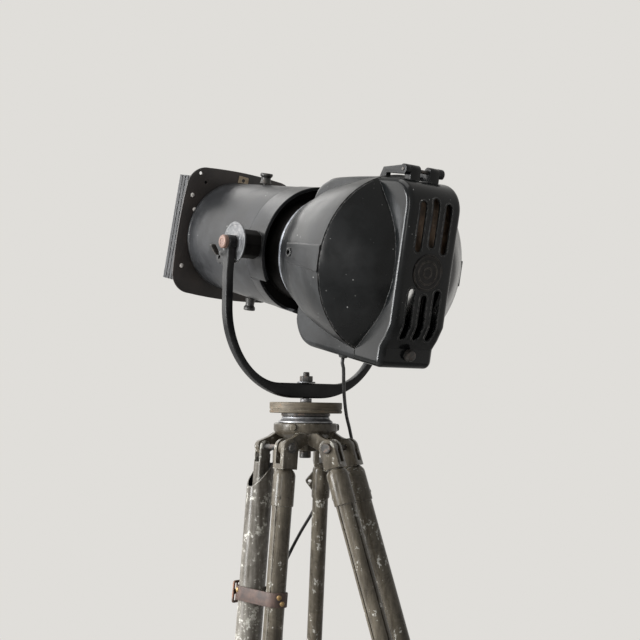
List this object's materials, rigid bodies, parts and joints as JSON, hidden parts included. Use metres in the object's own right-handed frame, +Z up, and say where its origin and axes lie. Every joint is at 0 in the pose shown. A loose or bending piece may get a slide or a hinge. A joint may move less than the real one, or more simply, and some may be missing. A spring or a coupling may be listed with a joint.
{
  "type": "profile spotlight on a tripod",
  "caption": "Small stage profile spot with a hinged lamphouse, sliding lens and colour runner, tilting in a yoke that pans on a tripod with telescopic legs.",
  "frame": {"origin": "on the floor, under the middle of the object's box; the stand's own vertical axis is 29 mm to +X and 13 mm to -Y of it", "axes": "+Z up, -Y the way the lamp points, X along the tilt pivot"},
  "size_m": [0.3764, 0.6864, 1.4758],
  "materials": {
    "black_paint": "satin black paint, worn at the edges",
    "plate_black": "dark brown-black paint",
    "bright_steel": "dull galvanised steel",
    "dark_steel": "blackened steel with rust in the corners",
    "army_green": "olive khaki gloss paint, chipped and rubbed",
    "aluminium": "turned aluminium",
    "leather": "dark brown leather",
    "brass": "dull brass",
    "glass": "clear glass",
    "mirror": "polished metal reflector",
    "ceramic": "cream glazed ceramic",
    "cord_rubber": "matt black rubber"
  },
  "bodies": {
    "stand": {"head_disc": "army_green", "head_neck": "dark_steel", "neck_ring": "aluminium", "hub": "army_green", "yoke_bolt": "dark_steel", "yoke_nut": "dark_steel", "yoke_washer": "dark_steel", "yoke_spacer": "dark_steel", "leg_left_pin": "dark_steel", "leg_right_pin": "dark_steel", "leg_far_pin": "dark_steel", "lead": "cord_rubber", "lead_coil": "cord_rubber", "mains_plug": "cord_rubber"},
    "left_leg": {"leg_left_tube_a": "army_green", "leg_left_tube_b": "army_green", "leg_left_clamp": "army_green", "leg_strap": "leather", "strap_buckle": "brass"},
    "left_foot": {"leg_left_slider": "army_green", "leg_left_foot": "dark_steel"},
    "right_leg": {"leg_right_tube_a": "army_green", "leg_right_tube_b": "army_green", "leg_right_clamp": "army_green"},
    "right_foot": {"leg_right_slider": "army_green", "leg_right_foot": "dark_steel"},
    "far_leg": {"leg_far_tube_a": "army_green", "leg_far_tube_b": "army_green", "leg_far_clamp": "army_green"},
    "far_foot": {"leg_far_slider": "army_green", "leg_far_foot": "dark_steel"},
    "yoke": {"yoke": "black_paint"},
    "lock": {"wing_nut": "dark_steel"},
    "lamp": {"barrel": "black_paint", "gate_band": "black_paint", "gate_tube": "black_paint", "gate_ring": "bright_steel", "front_plate": "plate_black", "colour_runner": "plate_black", "friction_disc_near": "bright_steel", "friction_disc_off": "bright_steel", "pivot_bolt_near": "bright_steel", "pivot_bolt_off": "bright_steel", "lamphouse_front": "black_paint", "hinge_pin": "dark_steel", "lamp_tray": "dark_steel", "lampholder": "ceramic", "bulb": "glass", "cable_gland": "cord_rubber"},
    "carriage": {"lens_carriage": "black_paint", "lens": "glass", "lens_ring": "bright_steel"},
    "top_knob": {"carriage_knob_top": "dark_steel"},
    "low_knob": {"carriage_knob_low": "dark_steel"},
    "door": {"lamphouse_rear": "black_paint", "mirror": "mirror", "light_baffle": "black_paint", "badge_plate": "black_paint"},
    "latch": {"latch_knob": "dark_steel"}
  },
  "joints": [
    {"name": "yoke_pan", "type": "hinge", "parent": "stand", "child": "yoke", "pos_m": [0.02893, -0.0128, 1.1], "axis": [0, 0, 1], "range_deg": [-170, 170], "deforming": ["lead"]},
    {"name": "lamp_tilt", "type": "hinge", "parent": "yoke", "child": "lamp", "pos_m": [0.02893, -0.0128, 1.3252], "axis": [1, 0, 0], "range_deg": [-26, 58], "deforming": ["lead"]},
    {"name": "lock_turn", "type": "hinge", "parent": "yoke", "child": "lock", "pos_m": [0.02893, -0.0328, 1.3052], "axis": [1, 0, 0], "continuous": true},
    {"name": "carriage_slide", "type": "slide", "parent": "lamp", "child": "carriage", "axis": [0, -0.9785, 0.2062], "range_m": [-0.04, 0.04]},
    {"name": "top_knob_turn", "type": "hinge", "parent": "carriage", "child": "top_knob", "pos_m": [0.02893, -0.15272, 1.35469], "axis": [0, 0.2062, 0.9785], "continuous": true},
    {"name": "low_knob_turn", "type": "hinge", "parent": "carriage", "child": "low_knob", "pos_m": [0.02893, -0.15272, 1.35469], "axis": [0, -0.2062, -0.9785], "continuous": true},
    {"name": "door_swing", "type": "hinge", "parent": "lamp", "child": "door", "pos_m": [0.02893, 0.24669, 1.40235], "axis": [1, 0, 0], "range_deg": [0, 100]},
    {"name": "latch_turn", "type": "hinge", "parent": "door", "child": "latch", "pos_m": [0.02893, -0.03569, 1.21659], "axis": [0, 0.9785, -0.2062], "continuous": true},
    {"name": "left_leg_spread", "type": "hinge", "parent": "stand", "child": "left_leg", "pos_m": [0.08293, -0.0128, 1.035], "axis": [0, 1, 0], "range_deg": [-22, 3]},
    {"name": "left_leg_extend", "type": "slide", "parent": "left_leg", "child": "left_foot", "axis": [0.0698, 0, -0.9976], "range_m": [-0.3, 0.1]},
    {"name": "right_leg_spread", "type": "hinge", "parent": "stand", "child": "right_leg", "pos_m": [0.00193, 0.03397, 1.035], "axis": [-0.866, -0.5, 0], "range_deg": [-8, 16]},
    {"name": "right_leg_extend", "type": "slide", "parent": "right_leg", "child": "right_foot", "axis": [-0.1504, 0.2604, -0.9537], "range_m": [-0.3, 0.1]},
    {"name": "far_leg_spread", "type": "hinge", "parent": "stand", "child": "far_leg", "pos_m": [0.00193, -0.05956, 1.035], "axis": [0.866, -0.5, 0], "range_deg": [-9, 14]},
    {"name": "far_leg_extend", "type": "slide", "parent": "far_leg", "child": "far_foot", "axis": [-0.1378, -0.2387, -0.9613], "range_m": [-0.3, 0.1]}
  ]
}
